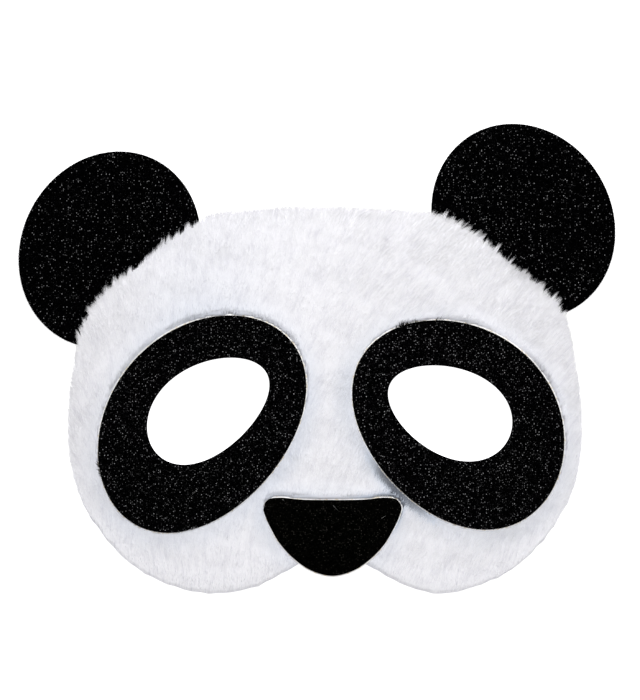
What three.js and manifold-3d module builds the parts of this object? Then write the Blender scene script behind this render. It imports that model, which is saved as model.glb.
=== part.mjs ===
// A plush panda half mask, lying on its back on a table.
// X runs across the face to the viewer's right, Y up the face, Z out of the face towards the viewer.
// A sheet of white plush bends in an arch over the wearer's face. Two round black ears are tucked behind
// its upper corners, and two black eye patches and a black nose lie on top, pressed into the pile.
// All sizes are in millimetres.
import * as THREE from "three";
import { mergeVertices } from "three/addons/utils/BufferGeometryUtils.js";
import Module from "manifold-3d";

const wasm = await Module();
wasm.setup();

// Driving dimensions: the face
const FACE_WIDTH = 175;
const FACE_HEIGHT = 132.4;
const BACKING_THICKNESS = 2;
const PILE_HEIGHT = 5;
const PRESSED_PILE = 1;

// How the face stands on the table: two flat strips at the sides, an arch between them, a rise at the nose
const ARCH_RISE = 22;
const REST_STRIP = 16;
const NOSE_RISE = 7;
const NOSE_RISE_REACH = 28;

// The nose, which lies over the notch, a little to one side, with the eyes on either side of it
const NOSE_WIDTH = 46.9;
const NOSE_HEIGHT = 26.5;
const NOSE_THICKNESS = 2.2;
const NOSE_ACROSS = 2.5;
const NOSE_BELOW_NOTCH = 9.3;

// The eye patches. Each is cut by hand, so its length and width are shares of the common ones.
// PATCH_TO_NOSE is the strip of plush between a patch and the nose, and PATCH_ABOVE_NOSE is from the nose's
// top edge up to the patch's middle.
const PATCH_LENGTH = 81;
const PATCH_WIDTH = 61.5;
const PATCH_THICKNESS = 2.4;
const PATCH_TO_NOSE = 4.4;
const PATCH_ABOVE_NOSE = 25.2;
const EYE_PATCHES = [
  { side: -1, length: 1.02, width: 0.982, egg: 0, bend: -0.076, tilt: 49, toNose: 1.18 },
  { side: 1, length: 0.983, width: 1.018, egg: 0.037, bend: -0.087, tilt: 43.3, toNose: 0.83 },
];

// The eye holes, whose middles lie inward of and above the middles of their patches, also with shares
const HOLE_LENGTH = 45.4;
const HOLE_WIDTH = 29.7;
const HOLE_INWARD = 2.65;
const HOLE_ABOVE = 4.5;
const EYE_HOLES = [
  { length: 1.022, width: 1.003, egg: 0.112, bend: -0.082, tilt: 35.6, inward: 0.9, above: 1.07 },
  { length: 0.978, width: 0.997, egg: 0.139, bend: -0.004, tilt: 24.2, inward: 1.1, above: 0.93 },
];

// One die cuts both ears. Each sits at its own share of the distance along the rim from the middle of the
// forehead, and out of the rim
const EAR_LENGTH = 68.6;
const EAR_WIDTH = 60.4;
const EAR_THICKNESS = 2.6;
const EAR_TUCK = 12;
const EAR_ALONG_RIM = 68.8;
const EAR_OUT_OF_RIM = 10.8;
const EARS = [
  { side: -1, alongRim: 1.081, outOfRim: 0.815, lean: 27 },
  { side: 1, alongRim: 0.917, outOfRim: 1.176, lean: 31.5 },
];

// Clearances between sheets that are glued or sewn together
const SHEET_GAP = 0.3;
const PATCH_CLEARANCE = 0.5;
const HOLE_MARGIN = 1;
const SLIDE_TOLERANCE = 0.01;

// Locks of the pile, round the rim and over the face
const TUFT_PITCH = 4;
const TUFT_LENGTH = 3;
const TUFT_VALLEY = 0.4;
const TUFT_AT_BOTTOM = 0.15;
const TUFT_UNEVENNESS = 0.25;
const TUFT_RHYTHM = 2.4;
const LOCK_WIDTH = 9;
const LOCK_LENGTH = 17;
const LOCK_RELIEF = 0.4;
const LOCK_SWAY = 1.7;
const LOCK_SWAY_RATE = 0.7;
const LOCK_STAGGER = 1.1;
const LOCK_STAGGER_RATE = 0.43;
const RIM_ROUNDING = 8;
const RIM_PILE = 0.3;
const VALLEY_DEPTH = 1.2;
const VALLEY_WIDTH = 4.5;

// Fineness of the meshes
const PILE_STEP = 4.2;
const SHEET_STEP = 6;
const RIM_SIDES = 110;
const EGG_SIDES = 52;
const EAR_SIDES = 60;
const NOSE_SIDES = 44;

// How the arch fades into the rest strips, and the plush over the hidden edge of an ear.
// The plush stays lifted for more than one step of the mesh past the ear, so that it clears the edge.
const ARCH_BLEND = 0.2;
const LIFT_MARGIN = 1.5 * SHEET_STEP;
const LIFT_FADE = 8;

// Half the rim of the face from the forehead down to the notch for the wearer's nose.
// across and up are shares of half the face's width and height. Points of the notch are placed from the
// middle line of the nose, the others from the middle of the face.
const FACE_RIM = [
  { across: 0, up: 1, notch: false },
  { across: 0.27, up: 0.985, notch: false },
  { across: 0.457, up: 0.955, notch: false },
  { across: 0.617, up: 0.833, notch: false },
  { across: 0.737, up: 0.705, notch: false },
  { across: 0.855, up: 0.583, notch: false },
  { across: 0.937, up: 0.445, notch: false },
  { across: 0.975, up: 0.227, notch: false },
  { across: 0.998, up: 0, notch: false },
  { across: 1, up: -0.235, notch: false },
  { across: 0.966, up: -0.466, notch: false },
  { across: 0.881, up: -0.674, notch: false },
  { across: 0.76, up: -0.847, notch: false },
  { across: 0.606, up: -0.956, notch: false },
  { across: 0.44, up: -1, notch: false },
  { across: 0.303, up: -0.967, notch: true },
  { across: 0.206, up: -0.906, notch: true },
  { across: 0.126, up: -0.846, notch: true },
  { across: 0, up: -0.76, notch: true },
];
const NOTCH_TOP = (FACE_RIM.at(-1).up * FACE_HEIGHT) / 2;
const NOSE_TOP = NOTCH_TOP - NOSE_BELOW_NOTCH + NOSE_HEIGHT;

// Half the rim of the nose from the middle of its top edge to its lower tip.
// across is a share of half its width, and down a share of its height.
const NOSE_RIM = [
  { across: 0, down: 0.03 },
  { across: 0.45, down: 0.024 },
  { across: 0.77, down: 0 },
  { across: 0.93, down: 0.025 },
  { across: 1, down: 0.12 },
  { across: 0.965, down: 0.25 },
  { across: 0.88, down: 0.41 },
  { across: 0.75, down: 0.6 },
  { across: 0.545, down: 0.79 },
  { across: 0.3, down: 0.935 },
  { across: 0, down: 1 },
];

const { clamp, degToRad, smoothstep, lerp } = THREE.MathUtils;

const plushMaterial = new THREE.MeshStandardMaterial({ color: 0xf1f0f4, roughness: 0.95, metalness: 0 });
const flockMaterial = new THREE.MeshStandardMaterial({ color: 0x0b0b0c, roughness: 0.8, metalness: 0 });
const feltMaterial = new THREE.MeshStandardMaterial({ color: 0x080808, roughness: 0.9, metalness: 0 });

// Outlines

// A closed smooth curve through half a rim and its mirror image, clockwise from the top.
function mirroredCurve(half, place) {
  const right = half.map((point) => place(point, 1));
  const left = half.slice(1, -1).map((point) => place(point, -1));
  return new THREE.CatmullRomCurve3([...right, ...left.reverse()], true, "centripetal");
}

function faceCurve() {
  return mirroredCurve(FACE_RIM, ({ across, up, notch }, side) => {
    const middle = notch ? NOSE_ACROSS : 0;
    return new THREE.Vector3(middle + (side * across * FACE_WIDTH) / 2, (up * FACE_HEIGHT) / 2, 0);
  });
}

function noseOutline(grow = 0) {
  const curve = mirroredCurve(NOSE_RIM, ({ across, down }, side) => {
    const x = NOSE_ACROSS + (side * across * NOSE_WIDTH) / 2;
    return new THREE.Vector3(x, NOSE_TOP - down * NOSE_HEIGHT, 0);
  });
  return offset(curve.getSpacedPoints(NOSE_SIDES).slice(0, -1), grow);
}

// The direction out of a clockwise outline at each of its points.
function outwardNormals(points) {
  return points.map((_, i) => {
    const before = points[(i + points.length - 1) % points.length];
    const after = points[(i + 1) % points.length];
    return new THREE.Vector2(before.y - after.y, after.x - before.x).normalize();
  });
}

// The outline moved out of itself by a distance, which may be a number or depend on the way out.
function offset(points, distance) {
  const normals = outwardNormals(points);
  return points.map((point, i) => {
    const out = typeof distance === "function" ? distance(normals[i]) : distance;
    return new THREE.Vector2(point.x + normals[i].x * out, point.y + normals[i].y * out);
  });
}

// An egg: an ellipse whose width tapers towards one end, and whose long axis bows a little.
// The long axis of a left-hand egg rises towards the nose at its tilt. A right-hand egg is a mirror image.
function eggOutline(length, width, { egg, bend, tilt }, middle, side, grow = 0) {
  const halfLength = length / 2 + grow;
  const halfWidth = width / 2 + grow;
  const turn = degToRad(tilt);
  const points = [];
  for (let i = 0; i < EGG_SIDES; i++) {
    const angle = (-i / EGG_SIDES) * 2 * Math.PI;
    const along = halfLength * Math.cos(angle);
    const taper = 1 - egg * Math.cos(angle);
    const bow = bend * (Math.cos(angle) ** 2 - 0.5);
    const across = halfWidth * (Math.sin(angle) * taper + bow);
    const inward = along * Math.cos(turn) - across * Math.sin(turn);
    const up = along * Math.sin(turn) + across * Math.cos(turn);
    points.push(new THREE.Vector2(middle.x - side * inward, middle.y + up));
  }
  return side > 0 ? points.reverse() : points;
}

function patchOutline(patch, middle, grow = 0) {
  return eggOutline(patch.length * PATCH_LENGTH, patch.width * PATCH_WIDTH, patch, middle, patch.side, grow);
}

// The middle of a patch. It is slid out at its height until the plush beside the nose is wide enough.
function patchMiddle(patch) {
  const wanted = patch.toNose * PATCH_TO_NOSE;
  const middle = new THREE.Vector2(NOSE_ACROSS, NOSE_TOP + PATCH_ABOVE_NOSE);
  const noseRim = noseOutline();
  let near = 0;
  let far = NOSE_WIDTH + PATCH_LENGTH + wanted;
  while (far - near > SLIDE_TOLERANCE) {
    const reach = (near + far) / 2;
    middle.x = NOSE_ACROSS + patch.side * reach;
    const gap = gapBetween(patchOutline(patch, middle), noseRim);
    [near, far] = gap < wanted ? [reach, far] : [near, reach];
  }
  return middle;
}

// An eye: the outlines of its patch and its hole, which can be grown to leave room round them.
function eyeOf(patch, hole) {
  const middle = patchMiddle(patch);
  const holeMiddle = middle.clone();
  holeMiddle.x -= patch.side * hole.inward * HOLE_INWARD;
  holeMiddle.y += hole.above * HOLE_ABOVE;
  const [length, width] = [hole.length * HOLE_LENGTH, hole.width * HOLE_WIDTH];
  return {
    name: patch.side < 0 ? "left" : "right",
    patchRim: (grow = 0) => patchOutline(patch, middle, grow),
    holeRim: (grow = 0) => eggOutline(length, width, hole, holeMiddle, patch.side, grow),
  };
}

// Where an ear sits: its middle, the way out of the rim there, and its long axis, which leans inwards.
function earPlace(ear) {
  const curve = faceCurve();
  const share = (ear.alongRim * EAR_ALONG_RIM) / curve.getLength();
  const outOfRim = ear.outOfRim * EAR_OUT_OF_RIM;
  const u = ear.side > 0 ? share : 1 - share;
  const rim = curve.getPointAt(u);
  const tangent = curve.getTangentAt(u);
  const out = new THREE.Vector2(-tangent.y, tangent.x);
  const lean = degToRad(ear.lean);
  return {
    name: ear.side < 0 ? "left" : "right",
    middle: new THREE.Vector2(rim.x + out.x * outOfRim, rim.y + out.y * outOfRim),
    out,
    axis: new THREE.Vector2(-ear.side * Math.sin(lean), Math.cos(lean)),
    cut: outOfRim + EAR_TUCK,
  };
}

// An ear is an ellipse, cut off straight behind the plush.
function earOutline({ middle, out, axis, cut }) {
  const points = [];
  for (let i = 0; i < EAR_SIDES; i++) {
    const angle = (-i / EAR_SIDES) * 2 * Math.PI;
    const along = (EAR_LENGTH / 2) * Math.cos(angle);
    const across = (EAR_WIDTH / 2) * Math.sin(angle);
    const x = axis.x * along - axis.y * across;
    const y = axis.y * along + axis.x * across;
    const beyondCut = Math.max(-(x * out.x + y * out.y) - cut, 0);
    points.push(new THREE.Vector2(middle.x + x + out.x * beyondCut, middle.y + y + out.y * beyondCut));
  }
  return points;
}

function distanceTo(outline, x, y) {
  let nearest = Infinity;
  outline.forEach((a, i) => {
    const b = outline[(i + 1) % outline.length];
    const along = ((x - a.x) * (b.x - a.x) + (y - a.y) * (b.y - a.y)) / a.distanceToSquared(b);
    const t = clamp(along, 0, 1);
    nearest = Math.min(nearest, Math.hypot(a.x + t * (b.x - a.x) - x, a.y + t * (b.y - a.y) - y));
  });
  return nearest;
}

// The least distance between two outlines, or less than nothing where they cross.
function gapBetween(outline, other) {
  if (outline.some((point) => isInside(other, point)) || other.some((point) => isInside(outline, point))) {
    return -1;
  }
  return Math.min(...outline.map((point) => distanceTo(other, point.x, point.y)));
}

function isInside(outline, point) {
  return outline.reduce((inside, a, i) => {
    const b = outline[(i + 1) % outline.length];
    const crosses = a.y > point.y !== b.y > point.y;
    return crosses && point.x < lerp(a.x, b.x, (point.y - a.y) / (b.y - a.y)) ? !inside : inside;
  }, false);
}

// The rim of the pile is a row of pointed locks, long where the pile hangs over the edge and short below.
function tuftedOutline(curve) {
  const count = Math.round(curve.getLength() / TUFT_PITCH);
  const spaced = curve.getSpacedPoints(2 * count).slice(0, -1);
  const normals = outwardNormals(spaced);
  return spaced.map((point, i) => {
    const uneven = 1 - TUFT_UNEVENNESS * (1 - Math.sin(TUFT_RHYTHM * i));
    const size = TUFT_LENGTH * overhang(normals[i]) * uneven;
    const out = i % 2 ? size * (1 - TUFT_VALLEY) : -size * TUFT_VALLEY;
    return new THREE.Vector2(point.x + normals[i].x * out, point.y + normals[i].y * out);
  });
}

// How far the pile hangs over the rim: wholly where the rim faces up the face, a little where it faces down.
function overhang(normal) {
  return lerp(TUFT_AT_BOTTOM, 1, smoothstep(normal.y, -0.6, 0.7));
}

// Heights above the table

function smoothMax(a, b, blend) {
  return Math.max(a, b) + Math.max(blend - Math.abs(a - b), 0) ** 2 / (4 * blend);
}

// The underside of a sheet that follows the wearer's face: an arch across, with a rise at the nose.
function archHeight(x, y) {
  const halfSpan = FACE_WIDTH / 2 - REST_STRIP;
  const crown = smoothMax(1 - (x / halfSpan) ** 2, 0, ARCH_BLEND);
  const noseMiddle = NOSE_TOP - NOSE_HEIGHT / 2;
  const fromNose = Math.hypot(x - NOSE_ACROSS, y - noseMiddle) / NOSE_RISE_REACH;
  return crown * (ARCH_RISE + NOSE_RISE * Math.exp(-(fromNose ** 2)));
}

// How much taller than its own thickness a sheet stands where it slopes.
function slopeStretch(x, y) {
  const across = archHeight(x + 0.5, y) - archHeight(x - 0.5, y);
  const up = archHeight(x, y + 0.5) - archHeight(x, y - 0.5);
  return Math.hypot(1, across, up);
}

const eyes = EYE_PATCHES.map((patch, i) => eyeOf(patch, EYE_HOLES[i]));
const ears = EARS.map(earPlace);

// 1 over an ear and its margin, falling to 0 away from it.
function earCover({ middle, out, axis, cut }, x, y) {
  const dx = x - middle.x;
  const dy = y - middle.y;
  const along = (dx * axis.x + dy * axis.y) / (EAR_LENGTH / 2);
  const across = (dy * axis.x - dx * axis.y) / (EAR_WIDTH / 2);
  const beyondEdge = ((Math.hypot(along, across) - 1) * EAR_WIDTH) / 2;
  const beyondCut = -(dx * out.x + dy * out.y) - cut;
  return 1 - smoothstep(Math.max(beyondEdge, beyondCut), LIFT_MARGIN, LIFT_MARGIN + LIFT_FADE);
}

// The underside of the plush, which rides over the hidden part of each ear.
function plushUnderside(x, y) {
  const cover = Math.max(...ears.map((ear) => earCover(ear, x, y)));
  return archHeight(x, y) + (EAR_THICKNESS + SHEET_GAP) * cover * slopeStretch(x, y);
}

function seatHeight(x, y) {
  return plushUnderside(x, y) + (BACKING_THICKNESS + PRESSED_PILE) * slopeStretch(x, y);
}

// Low locks that lie up the face, in wavy columns and rows.
function lockRelief(x, y) {
  const column = (2 * Math.PI * x) / LOCK_WIDTH;
  const row = (2 * Math.PI * y) / LOCK_LENGTH;
  const wavyColumn = column + LOCK_SWAY * Math.sin(row * LOCK_SWAY_RATE);
  const wavyRow = row + LOCK_STAGGER * Math.sin(column * LOCK_STAGGER_RATE);
  return LOCK_RELIEF * Math.sin(wavyColumn) * Math.cos(wavyRow);
}

// Solids

function solidOf(geometry) {
  geometry.deleteAttribute("normal");
  geometry.deleteAttribute("uv");
  const merged = mergeVertices(geometry, 1e-4);
  const mesh = new wasm.Mesh({
    numProp: 3,
    vertProperties: new Float32Array(merged.attributes.position.array),
    triVerts: new Uint32Array(merged.index.array),
  });
  return new wasm.Manifold(mesh);
}

// An upright prism on an outline, taller and deeper than any sheet.
function prism(outline) {
  const depth = 4 * (ARCH_RISE + NOSE_RISE + PILE_HEIGHT);
  const geometry = new THREE.ExtrudeGeometry(new THREE.Shape(outline), { depth, bevelEnabled: false });
  return solidOf(geometry.translate(0, 0, -depth / 2));
}

// A block over the outline's bounding box between two surfaces, each a function of x and y.
// Blocks with the same step share one grid, so two surfaces that face each other keep their gap.
function block(outline, step, lower, upper) {
  const bounds = new THREE.Box2().setFromPoints(outline);
  const first = bounds.min.clone().divideScalar(step).subScalar(0.5).floor();
  const last = bounds.max.clone().divideScalar(step).addScalar(0.5).ceil();
  const cells = last.clone().sub(first);
  const middle = first.add(last).multiplyScalar(step / 2);
  const geometry = new THREE.BoxGeometry(cells.x * step, cells.y * step, 1, cells.x, cells.y, 1);
  const position = geometry.attributes.position;
  for (let i = 0; i < position.count; i++) {
    const x = middle.x + position.getX(i);
    const y = middle.y + position.getY(i);
    const surface = position.getZ(i) > 0 ? upper : lower;
    position.setXYZ(i, x, y, surface(x, y));
  }
  return solidOf(geometry);
}

// A sheet of even thickness whose underside is a surface, cut to an outline.
function sheet(outline, underside, thickness) {
  const upper = (x, y) => underside(x, y) + thickness * slopeStretch(x, y);
  return block(outline, SHEET_STEP, underside, upper).intersect(prism(outline));
}

function meshOf(name, solid, material) {
  const { numProp, vertProperties, triVerts } = solid.getMesh();
  const geometry = new THREE.BufferGeometry();
  const positions = new Float32Array((vertProperties.length / numProp) * 3);
  for (let i = 0; i < positions.length / 3; i++) {
    positions.set(vertProperties.subarray(i * numProp, i * numProp + 3), i * 3);
  }
  geometry.setAttribute("position", new THREE.BufferAttribute(positions, 3));
  geometry.setIndex(new THREE.BufferAttribute(triVerts, 1));
  const mesh = new THREE.Mesh(geometry, material);
  mesh.name = name;
  return mesh;
}

// Pieces

function plushFace() {
  const rim = faceCurve();
  const edge = rim.getSpacedPoints(RIM_SIDES).slice(0, -1);
  const pileEdge = tuftedOutline(rim);
  const backingEdge = offset(edge, (normal) => -TUFT_LENGTH * (1 - TUFT_VALLEY) * overhang(normal));
  const pressed = [...eyes.map((eye) => eye.patchRim(PATCH_CLEARANCE)), noseOutline(PATCH_CLEARANCE)];
  const pileTop = (x, y) => {
    const inward = Math.min(distanceTo(edge, x, y) / RIM_ROUNDING, 1);
    const rounding = lerp(RIM_PILE, 1, Math.sqrt(1 - (1 - inward) ** 2));
    const fromPressed = Math.min(...pressed.map((outline) => distanceTo(outline, x, y)));
    const valley = VALLEY_DEPTH * Math.exp(-((fromPressed / VALLEY_WIDTH) ** 2));
    const pile = PILE_HEIGHT * rounding - valley + lockRelief(x, y);
    return plushUnderside(x, y) + (BACKING_THICKNESS + pile) * slopeStretch(x, y);
  };
  const far = ARCH_RISE + NOSE_RISE + PILE_HEIGHT;
  const below = () => -far;
  const above = () => 2 * far;
  const backingTop = (x, y) => plushUnderside(x, y) + BACKING_THICKNESS * slopeStretch(x, y);

  let plush = block(pileEdge, PILE_STEP, below, pileTop).intersect(prism(pileEdge));
  plush = plush.subtract(block(pileEdge, SHEET_STEP, () => -2 * far, plushUnderside));
  const overhanging = block(pileEdge, SHEET_STEP, below, backingTop).subtract(prism(backingEdge));
  plush = plush.subtract(overhanging);
  for (const outline of pressed) {
    plush = plush.subtract(block(outline, SHEET_STEP, seatHeight, above).intersect(prism(outline)));
  }
  for (const eye of eyes) {
    plush = plush.subtract(prism(eye.holeRim(HOLE_MARGIN)));
  }
  return meshOf("plush_face", plush, plushMaterial);
}

function onSeat(x, y) {
  return seatHeight(x, y) + SHEET_GAP * slopeStretch(x, y);
}

function eyePatch({ name, patchRim, holeRim }) {
  const patch = sheet(patchRim(), onSeat, PATCH_THICKNESS).subtract(prism(holeRim()));
  return meshOf(`eye_patch_${name}`, patch, flockMaterial);
}

function nose() {
  return meshOf("nose", sheet(noseOutline(), onSeat, NOSE_THICKNESS), feltMaterial);
}

function earSheet(ear) {
  return meshOf(`ear_${ear.name}`, sheet(earOutline(ear), archHeight, EAR_THICKNESS), flockMaterial);
}

const mask = new THREE.Group();
mask.add(plushFace(), nose(), ...eyes.map(eyePatch), ...ears.map(earSheet));

// The origin is under the middle of the whole mask, on the table.
const bounds = new THREE.Box3().setFromObject(mask);
const middle = bounds.getCenter(new THREE.Vector3());
mask.position.set(-middle.x, -middle.y, -bounds.min.z);

export default mask;
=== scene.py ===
# %% [markdown]
# # A plush panda half mask
# The real mask is a die-cut sheet of white plush, bent into an arch that fits over a face. Two round ears
# of black napped cloth are tucked behind its upper corners, and two black eye patches and a black nose are
# glued on top, where they press the pile down. It lies on a white table and is seen from straight above.

# %% [markdown]
# ## The measured model
# The solid model comes first. Every piece made below is placed by it and stands for one of its nodes, so
# nothing is fitted by eye.

# %% Load the solid model
import math

import bpy
import numpy as np
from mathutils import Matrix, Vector


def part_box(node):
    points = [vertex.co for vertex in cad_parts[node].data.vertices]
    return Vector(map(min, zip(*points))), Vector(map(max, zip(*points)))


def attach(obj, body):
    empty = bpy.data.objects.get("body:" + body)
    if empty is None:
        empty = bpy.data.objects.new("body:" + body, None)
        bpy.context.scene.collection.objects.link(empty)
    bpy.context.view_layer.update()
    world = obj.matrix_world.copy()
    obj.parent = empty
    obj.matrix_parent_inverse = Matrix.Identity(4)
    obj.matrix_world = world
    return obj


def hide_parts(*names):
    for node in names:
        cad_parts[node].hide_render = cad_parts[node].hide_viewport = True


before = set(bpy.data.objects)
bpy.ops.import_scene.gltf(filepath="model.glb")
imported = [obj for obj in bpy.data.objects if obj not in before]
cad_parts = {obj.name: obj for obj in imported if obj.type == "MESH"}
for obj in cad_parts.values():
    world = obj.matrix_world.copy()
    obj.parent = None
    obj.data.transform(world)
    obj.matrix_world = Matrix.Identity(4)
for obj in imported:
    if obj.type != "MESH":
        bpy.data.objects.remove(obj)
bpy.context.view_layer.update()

dice = np.random.default_rng(11)

# %% [markdown]
# ## Where the middle of the face lies
# Shapes are worked out in millimetres from the middle of the white face, and turned into metres when a
# mesh is made. The nose tells where that middle is: it sits a little to one side of it, and its tip hangs
# below the notch that is cut out for the wearer's nose.

# %% Sizes of the face and nose
MM = 0.001
FACE_WIDTH, FACE_HEIGHT = 175, 132.4
NOSE_WIDTH, NOSE_HEIGHT, NOSE_ACROSS = 46.9, 26.5, 2.5
NOTCH_TOP = -0.76 * FACE_HEIGHT / 2
NOSE_TIP = NOTCH_TOP - 9.3
NOSE_TOP = NOSE_TIP + NOSE_HEIGHT


def node_box(name):
    """The lower and upper corner of a solid, in millimetres."""
    return np.array(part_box(name)) / MM


low, high = node_box("nose")
MIDDLE = np.array([(low[0] + high[0]) / 2 - NOSE_ACROSS, low[1] - NOSE_TIP, 0])
print("middle of the face, mm:", MIDDLE.round(2))

# %% [markdown]
# ## The camera
# The photograph looks straight at the front of the mask, so here the camera looks straight down. A long
# lens from nine metres off keeps the view as flat as the photograph's. One of its pixels is 0.34 mm at
# the height of the ears, and the picture is 640 by 700 pixels.

# %% Camera
PIXEL = 0.3398
PICTURE_HEIGHT = 700
PICTURE_MIDDLE = np.array([-1.7, 17.0])
CAMERA_HEIGHT = 9000
FOCUS_LEVEL = 18
SENSOR = 36

lens = SENSOR * (CAMERA_HEIGHT - FOCUS_LEVEL) / (PICTURE_HEIGHT * PIXEL)
camera_data = bpy.data.cameras.new("camera")
camera_data.sensor_width = SENSOR
camera_data.lens = lens
camera_data.clip_end = 100
camera = bpy.data.objects.new("camera", camera_data)
camera.location = Vector((*(PICTURE_MIDDLE + MIDDLE[:2]), CAMERA_HEIGHT)) * MM
bpy.context.scene.collection.objects.link(camera)
bpy.context.scene.camera = camera
print("lens, mm:", round(lens))

# %% [markdown]
# ## Outlines of the face and nose
# Both are symmetrical outlines through a few points, so a table holds one half and the other half is its
# mirror image. A Bezier curve object would do as well, but the pile has to be measured against these
# outlines later, so they are worked out as plain points.

# %% Smooth closed curves


def even_steps(loop, count):
    """The closed loop again, cut into count stretches of the same length."""
    closed = np.vstack([loop, loop[:1]])
    along = np.concatenate([[0], np.cumsum(np.linalg.norm(np.diff(closed, axis=0), axis=1))])
    wanted = np.linspace(0, along[-1], count, endpoint=False)
    return np.stack([np.interp(wanted, along, closed[:, k]) for k in (0, 1)], axis=1)


def smooth_loop(points, count):
    """A closed Catmull-Rom curve through the points.

    Each stretch is a cubic whose end slopes come from the neighbouring points, weighed by the square roots
    of the distances between them, so that it doesn't overshoot where points lie close together.
    """
    before, a, b, after = (np.roll(points, k, axis=0) for k in (1, 0, -1, -2))
    steps = [np.sqrt(np.linalg.norm(q - p, axis=1))[:, None] for p, q in ((before, a), (a, b), (b, after))]
    start = (a - before) / steps[0] - (b - before) / (steps[0] + steps[1]) + (b - a) / steps[1]
    end = (b - a) / steps[1] - (after - a) / (steps[1] + steps[2]) + (after - b) / steps[2]
    a, b, start, end = (v[:, None, :] for v in (a, b, start * steps[1], end * steps[1]))
    t = np.linspace(0, 1, 40, endpoint=False)[None, :, None]
    curve = a + start * t + (3 * (b - a) - 2 * start - end) * t**2 + (2 * (a - b) + start + end) * t**3
    return even_steps(curve.reshape(-1, 2), count)


def with_mirror_image(across, up, middle):
    """Half an outline, clockwise from the top, and its mirror image."""
    left = np.stack([middle - across, up], axis=1)[1:-1][::-1]
    return np.vstack([np.stack([middle + across, up], axis=1), left])


def turning(rim):
    """Twice the area inside an outline, positive when it runs anticlockwise and negative when clockwise."""
    return (rim[:, 0] * np.roll(rim[:, 1], -1) - np.roll(rim[:, 0], -1) * rim[:, 1]).sum()


def normals_in(rim):
    """The way into an outline at each of its points: at right angles to the line between its neighbours."""
    tangent = np.roll(rim, -1, axis=0) - np.roll(rim, 1, axis=0)
    tangent /= np.linalg.norm(tangent, axis=1, keepdims=True)
    return np.stack([-tangent[:, 1], tangent[:, 0]], axis=1) * np.sign(turning(rim))


def moved_in(rim, distance):
    """The outline moved into itself, by one distance or by one for each point."""
    return rim + normals_in(rim) * np.reshape(distance, (-1, 1))


# %% [markdown]
# The face's table holds shares of half its width and height. Its last four points are the notch, which is
# centred on the nose and not on the face. The nose's table holds shares of half its width and of its height.

# %% Face and nose outlines
FACE_RIM = np.array([
    (0, 1), (0.27, 0.985), (0.457, 0.955), (0.617, 0.833), (0.737, 0.705), (0.855, 0.583),
    (0.937, 0.445), (0.975, 0.227), (0.998, 0), (1, -0.235), (0.966, -0.466), (0.881, -0.674),
    (0.76, -0.847), (0.606, -0.956), (0.44, -1), (0.303, -0.967), (0.206, -0.906), (0.126, -0.846),
    (0, -0.76),
])
NOTCH_POINTS = 4
NOSE_RIM = np.array([
    (0, 0.03), (0.45, 0.024), (0.77, 0), (0.93, 0.025), (1, 0.12), (0.965, 0.25), (0.88, 0.41),
    (0.75, 0.6), (0.545, 0.79), (0.3, 0.935), (0, 1),
])

in_notch = np.arange(len(FACE_RIM)) >= len(FACE_RIM) - NOTCH_POINTS
face_half = FACE_RIM * (FACE_WIDTH / 2, FACE_HEIGHT / 2)
face_points = with_mirror_image(*face_half.T, np.where(in_notch, NOSE_ACROSS, 0))
nose_across = NOSE_RIM[:, 0] * NOSE_WIDTH / 2
nose_points = with_mirror_image(nose_across, NOSE_TOP - NOSE_RIM[:, 1] * NOSE_HEIGHT, NOSE_ACROSS)
face_rim = smooth_loop(face_points, 360)
nose_rim = smooth_loop(nose_points, 160)
print("face:", np.ptp(face_rim, axis=0).round(1), "nose:", np.ptp(nose_rim, axis=0).round(1))

# %% [markdown]
# ## Outlines of the eyes and ears
# An eye patch, and the hole in it, is an egg: an ellipse that tapers towards one end and bows a little,
# with its long axis rising towards the nose. Each is cut by hand, so the left and right ones differ. An ear
# is an ellipse that is cut off straight behind the plush. Each outline is moved to where its solid is.

# %% Eggs and ears
LEFT, RIGHT = -1, 1
PATCHES = {
    LEFT: dict(length=82.6, width=60.4, egg=0, bend=-0.076, tilt=49),
    RIGHT: dict(length=79.6, width=62.6, egg=0.037, bend=-0.087, tilt=43.3),
}
HOLES = {
    LEFT: dict(length=46.4, width=29.8, egg=0.112, bend=-0.082, tilt=35.6, inward=2.4, above=4.8),
    RIGHT: dict(length=44.4, width=29.6, egg=0.139, bend=-0.004, tilt=24.2, inward=2.9, above=4.2),
}
EARS = {LEFT: dict(along=74.4, out=8.8, lean=27), RIGHT: dict(along=63.1, out=12.7, lean=31.5)}
EAR_LENGTH, EAR_WIDTH, EAR_TUCK = 68.6, 60.4, 12
NAMES = {LEFT: "left", RIGHT: "right"}


def egg_rim(side, length, width, egg, bend, tilt, count=160):
    """An egg round nought.

    Along its axis it goes as the cosine of the angle, and across it as the sine, times a taper that is less
    than one at the inner end, plus a bow that grows with the square of the cosine.
    """
    angle = np.linspace(0, 2 * math.pi, count, endpoint=False)
    along = length / 2 * np.cos(angle)
    across = width / 2 * (np.sin(angle) * (1 - egg * np.cos(angle)) + bend * (np.cos(angle) ** 2 - 0.5))
    turn = math.radians(tilt)
    inward = along * math.cos(turn) - across * math.sin(turn)
    up = along * math.sin(turn) + across * math.cos(turn)
    rim = np.stack([-side * inward, up], axis=1)
    return even_steps(rim if side < 0 else rim[::-1], count)


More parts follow.
